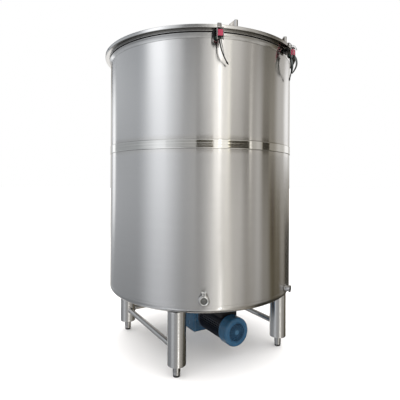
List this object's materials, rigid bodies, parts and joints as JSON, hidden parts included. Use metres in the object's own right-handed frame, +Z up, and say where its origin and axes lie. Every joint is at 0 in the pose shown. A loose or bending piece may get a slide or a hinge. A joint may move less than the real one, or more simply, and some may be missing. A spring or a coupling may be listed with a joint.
{
  "type": "chocolate mixing tank",
  "caption": "Upright round stainless mixing tank with a clamped lid, a seam band, tubular legs with screw feet, low outlets and a blue geared motor under its bottom.",
  "frame": {"origin": "on the tank's axis at floor level, at the middle of the ring that the legs stand on", "axes": "+Z up along the tank's axis; -Y is the front, where the motor points; +X to the right seen from the front"},
  "size_m": [1.272, 1.272, 1.9243],
  "materials": {
    "brushed_stainless": "fine brushed stainless steel",
    "polished_stainless": "polished stainless steel",
    "black_seal": "matt seal",
    "black_rubber": "matt rubber",
    "blue_enamel": "semi-gloss enamel",
    "dark_blue_enamel": "semi-gloss enamel",
    "black_plastic": "matt moulded plastic",
    "black_coated_steel": "black coating",
    "red_plastic": "moulded plastic"
  },
  "bodies": {
    "tank": {"bottom_head": "brushed_stainless", "brace_back_left_back_right": "brushed_stainless", "brace_back_right_front_right": "brushed_stainless", "brace_front_left_back_left": "brushed_stainless", "clamp_left_bracket": "black_coated_steel", "clamp_right_bracket": "black_coated_steel", "drive_flange": "brushed_stainless", "fan_cover": "blue_enamel", "foot_back_left": "polished_stainless", "foot_back_right": "polished_stainless", "foot_front_left": "polished_stainless", "foot_front_right": "polished_stainless", "foot_pad_back_left": "black_rubber", "foot_pad_back_right": "black_rubber", "foot_pad_front_left": "black_rubber", "foot_pad_front_right": "black_rubber", "gear_housing": "blue_enamel", "leg_back_left": "brushed_stainless", "leg_back_right": "brushed_stainless", "leg_front_left": "brushed_stainless", "leg_front_right": "brushed_stainless", "lid_lug_left": "polished_stainless", "lid_lug_right": "polished_stainless", "lid_plate": "brushed_stainless", "lid_ring": "polished_stainless", "motor_body": "dark_blue_enamel", "motor_end_shield": "blue_enamel", "motor_flange": "blue_enamel", "outlet_cap": "polished_stainless", "outlet_clamp": "brushed_stainless", "outlet_ferrule": "polished_stainless", "outlet_wing_nut": "polished_stainless", "rim_collar": "polished_stainless", "rim_seal": "black_seal", "seam_band": "polished_stainless", "shell_lower": "brushed_stainless", "shell_upper": "brushed_stainless", "side_stub": "polished_stainless", "terminal_box": "black_plastic"},
    "clamp_left_lever": {"clamp_left_lever": "black_coated_steel"},
    "clamp_left_link": {"clamp_left_link": "polished_stainless", "clamp_left_grip": "red_plastic"},
    "clamp_right_lever": {"clamp_right_lever": "black_coated_steel"},
    "clamp_right_link": {"clamp_right_link": "polished_stainless", "clamp_right_grip": "red_plastic"}
  },
  "joints": [
    {"name": "clamp_left_lever_hinge", "type": "hinge", "parent": "tank", "child": "clamp_left_lever", "pos_m": [-0.24724, -0.58815, 1.811], "axis": [-0.9219, 0.3875, 0], "range_deg": [0, 60]},
    {"name": "clamp_left_link_hinge", "type": "hinge", "parent": "clamp_left_lever", "child": "clamp_left_link", "pos_m": [-0.25421, -0.60474, 1.80299], "axis": [-0.9219, 0.3875, 0], "range_deg": [-60, 0]},
    {"name": "clamp_right_lever_hinge", "type": "hinge", "parent": "tank", "child": "clamp_right_lever", "pos_m": [0.26356, -0.58102, 1.811], "axis": [-0.9107, -0.4131, 0], "range_deg": [0, 60]},
    {"name": "clamp_right_link_hinge", "type": "hinge", "parent": "clamp_right_lever", "child": "clamp_right_link", "pos_m": [0.27099, -0.59741, 1.80299], "axis": [-0.9107, -0.4131, 0], "range_deg": [-60, 0]}
  ],
  "couplings": [
    {"joint": "clamp_left_link_hinge", "follows": "clamp_left_lever_hinge", "ratio": -1},
    {"joint": "clamp_right_link_hinge", "follows": "clamp_right_lever_hinge", "ratio": -1}
  ]
}
